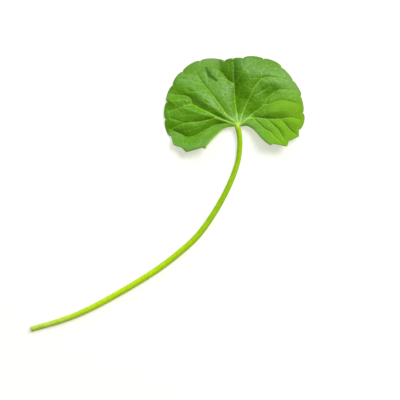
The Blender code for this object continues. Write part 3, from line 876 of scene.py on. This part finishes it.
def blade_color(n, speck):
    """The upper face's tissue, veins and rim one over the other, and the paler underside."""
    vein = n.attribute("vein")
    blotch = n.ramp(n.noise(BLOTCH_SCALE, 3.0), 0.35, 0.68)
    fine_net = n.math("SUBTRACT", 1.0, n.ramp(n.cells(FINE_NET_SCALE), 0.0, 0.12))

    color = n.mix(n.attribute("warm"), LEAF_GREEN, WARM_GREEN)
    color = n.mix(n.attribute("cool"), color, COOL_GREEN)
    color = n.cover(color, n.attribute("base"), 0.6, BASE_GREEN)
    # painted sheen: a pale bluish colour over the patches
    color = n.mix(n.attribute("painted_sheen"), color, PAINTED_SHEEN_GREEN)
    color = n.cover(color, blotch, 0.3, BLOTCH_GREEN)
    color = n.cover(color, speck, 0.1, SPECK_GREEN)
    color = n.cover(color, fine_net, 0.1, SPECK_GREEN)
    color = n.cover(color, n.attribute("net"), 0.4, NET_GREEN)
    color = n.cover(color, n.attribute("web"), 0.4, WEB_GREEN)
    color = n.cover(color, n.attribute("shade"), 0.4, SHADE_GREEN)
    # painted shade in the crease
    color = n.mix(n.attribute("crease"), color, CREASE_SHADE_GREEN)
    color = n.cover(color, vein, 0.85, VEIN_GREEN)
    color = n.mix(n.attribute("knot"), color, KNOT_GREEN)
    color = n.cover(color, n.attribute("rim"), 0.4, RIM_GREEN)
    color = n.cover(color, n.attribute("tip"), 0.7, TIP_YELLOW)
    color = n.cover(color, n.attribute("lit"), 0.8, LIT_GREEN)
    color = n.cover(color, n.attribute("brown"), 0.75, RIM_BROWN)
    return n.mix(n.attribute("under"), color, n.mix(vein, UNDER_GREEN, UNDER_VEIN_GREEN))


def blade_finish():
    """Waxy leaf green: darker tissue, paler nets and veins, a thin pale rim, and a dull paler underside."""
    n = Nodes("gotu kola blade")
    speck = n.ramp(n.noise(SPECK_SCALE, 3.0), 0.4, 0.7)
    color = blade_color(n, speck)
    n.put(n.shader.inputs["Base Color"], color)

    matte = n.math("MAXIMUM", n.attribute("rim"), n.attribute("crease"))
    rough = n.math("ADD", 0.42, n.attribute("dull"))
    duller = [(speck, 0.06), (n.attribute("warm"), 0.5), (n.attribute("under"), 0.2), (matte, 0.5)]
    for field, share in duller:
        rough = n.math("ADD", rough, n.math("MULTIPLY", field, share))
    n.put(n.shader.inputs["Roughness"], rough)
    n.shader.inputs["IOR"].default_value = 1.38
    domes = n.math("MULTIPLY", n.cells(FINE_NET_SCALE), 1.6)
    grain = n.math("MULTIPLY", n.noise(GRAIN_SCALE), 0.4)
    normal = n.bump(n.math("ADD", domes, grain), 0.4)
    n.put(n.shader.inputs["Normal"], normal)

    through = n.add("ShaderNodeBsdfTranslucent")
    n.put(through.inputs["Color"], n.mix(0.6, color, THROUGH_GREEN))
    n.put(through.inputs["Normal"], normal)
    blend = n.add("ShaderNodeMixShader")
    blend.inputs[0].default_value = 0.1
    n.put(blend.inputs[1], n.shader.outputs[0])
    n.put(blend.inputs[2], through.outputs[0])
    n.put(n.output.inputs["Surface"], blend.outputs[0])
    return n.material


def stalk_finish():
    """Glossy yellow-green, with fine lengthwise lines, duller towards the cut, and a pale sunken pith."""
    n = Nodes("gotu kola stalk")
    along = n.attribute("along")
    cut = n.attribute("cut")
    streak = n.ramp(n.noise(STREAK_SCALE), 0.35, 0.7)
    body = n.mix(n.ramp(along, 0.2, 0.7), n.mix(streak, *YOUNG_STALK), n.mix(streak, *RIPE_STALK))
    body = n.cover(body, n.ramp(n.attribute("rib"), 0.2, 1.0), 0.25, STALK_RIB_GREEN)
    body = n.mix(n.ramp(along, 0.75, 1.0), body, n.mix(streak, *OLD_STALK))
    body = n.cover(body, n.attribute("knot"), 0.9, STALK_HEAD_GREEN)
    pith = n.mix(n.ramp(cut, 0.3, 0.9), *PITH)
    n.put(n.shader.inputs["Base Color"], n.mix(n.ramp(cut, 0.0, 0.3), body, pith))
    n.put(n.shader.inputs["Roughness"], n.math("ADD", 0.3, n.math("MULTIPLY", cut, 0.3)))
    n.shader.inputs["IOR"].default_value = 1.27
    n.shader.inputs["Subsurface Weight"].default_value = 0.2
    n.shader.inputs["Subsurface Radius"].default_value = (0.001, 0.0016, 0.0004)
    n.shader.inputs["Subsurface Scale"].default_value = 0.6
    n.put(n.shader.inputs["Normal"], n.bump(n.noise(STALK_GRAIN_SCALE), 0.6))
    return n.material


def floor_finish():
    """Matte, and glowing a little, so that it looks white beside soft shadows."""
    n = Nodes("white floor")
    n.shader.inputs["Base Color"].default_value = (0.35, 0.35, 0.35, 1.0)
    n.shader.inputs["Roughness"].default_value = 0.9
    n.shader.inputs["Specular IOR Level"].default_value = 0.0
    n.shader.inputs["Emission Color"].default_value = (0.98, 1.0, 0.83, 1.0)
    n.shader.inputs["Emission Strength"].default_value = 0.59
    return n.material


def make_floor():
    mesh = bpy.data.meshes.new("floor")
    corners = [(a * FLOOR_HALF, b * FLOOR_HALF, 0.0) for a, b in ((-1, -1), (1, -1), (1, 1), (-1, 1))]
    mesh.from_pydata(corners, [], [(0, 1, 2, 3)])
    mesh.materials.append(floor_finish())
    made = bpy.data.objects.new("floor", mesh)
    bpy.context.scene.collection.objects.link(made)


def area_light(name, azimuth, elevation, power, color=(1.0, 1.0, 1.0)):
    """A square soft light that faces the leaf's middle. Azimuth is in degrees from +X, anticlockwise."""
    light = bpy.data.lights.new(name, "AREA")
    light.shape = "SQUARE"
    light.size = LIGHT_SIZE
    light.energy = power
    light.color = color
    made = bpy.data.objects.new(name, light)
    bpy.context.scene.collection.objects.link(made)
    azimuth, elevation = math.radians(azimuth), math.radians(elevation)
    away = Vector((math.cos(azimuth) * math.cos(elevation), math.sin(azimuth) * math.cos(elevation),
                   math.sin(elevation)))
    made.location = away * LIGHT_DISTANCE
    made.rotation_euler = away.to_track_quat("Z", "Y").to_euler()


def make_lights():
    area_light("key", azimuth=47.0, elevation=50.0, power=21.8)
    area_light("window", azimuth=113.0, elevation=36.0, power=7.7, color=(0.82, 0.92, 1.0))
    world = bpy.data.worlds.new("studio")
    world.use_nodes = True
    background = world.node_tree.nodes["Background"]
    background.inputs["Color"].default_value = (1.0, 1.0, 1.0, 1.0)
    background.inputs["Strength"].default_value = 0.2
    world.cycles_visibility.glossy = False
    bpy.context.scene.world = world
    bpy.context.scene.view_settings.view_transform = "Standard"


def make_camera():
    """Straight down, at a height where one pixel of the photograph is PIXEL millimetres of the floor."""
    centre = IMAGE_SIZE / 2
    x = INSERTION[0] + (centre - INSERTION_PIXEL[0]) * PIXEL
    y = INSERTION[1] + (INSERTION_PIXEL[1] - centre) * PIXEL
    data = bpy.data.cameras.new("camera")
    data.lens = LENS
    data.sensor_width = SENSOR
    data.clip_start = 0.01
    made = bpy.data.objects.new("camera", data)
    bpy.context.scene.collection.objects.link(made)
    made.location = (x * MM, y * MM, IMAGE_SIZE * PIXEL * MM * LENS / SENSOR)
    bpy.context.scene.camera = made


make_camera()
make_lights()
make_floor()

blade = make_blade(blade_finish())
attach(blade, "root")
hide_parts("blade")

stalk = make_stalk(stalk_finish())
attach(stalk, "root")
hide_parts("stalk")
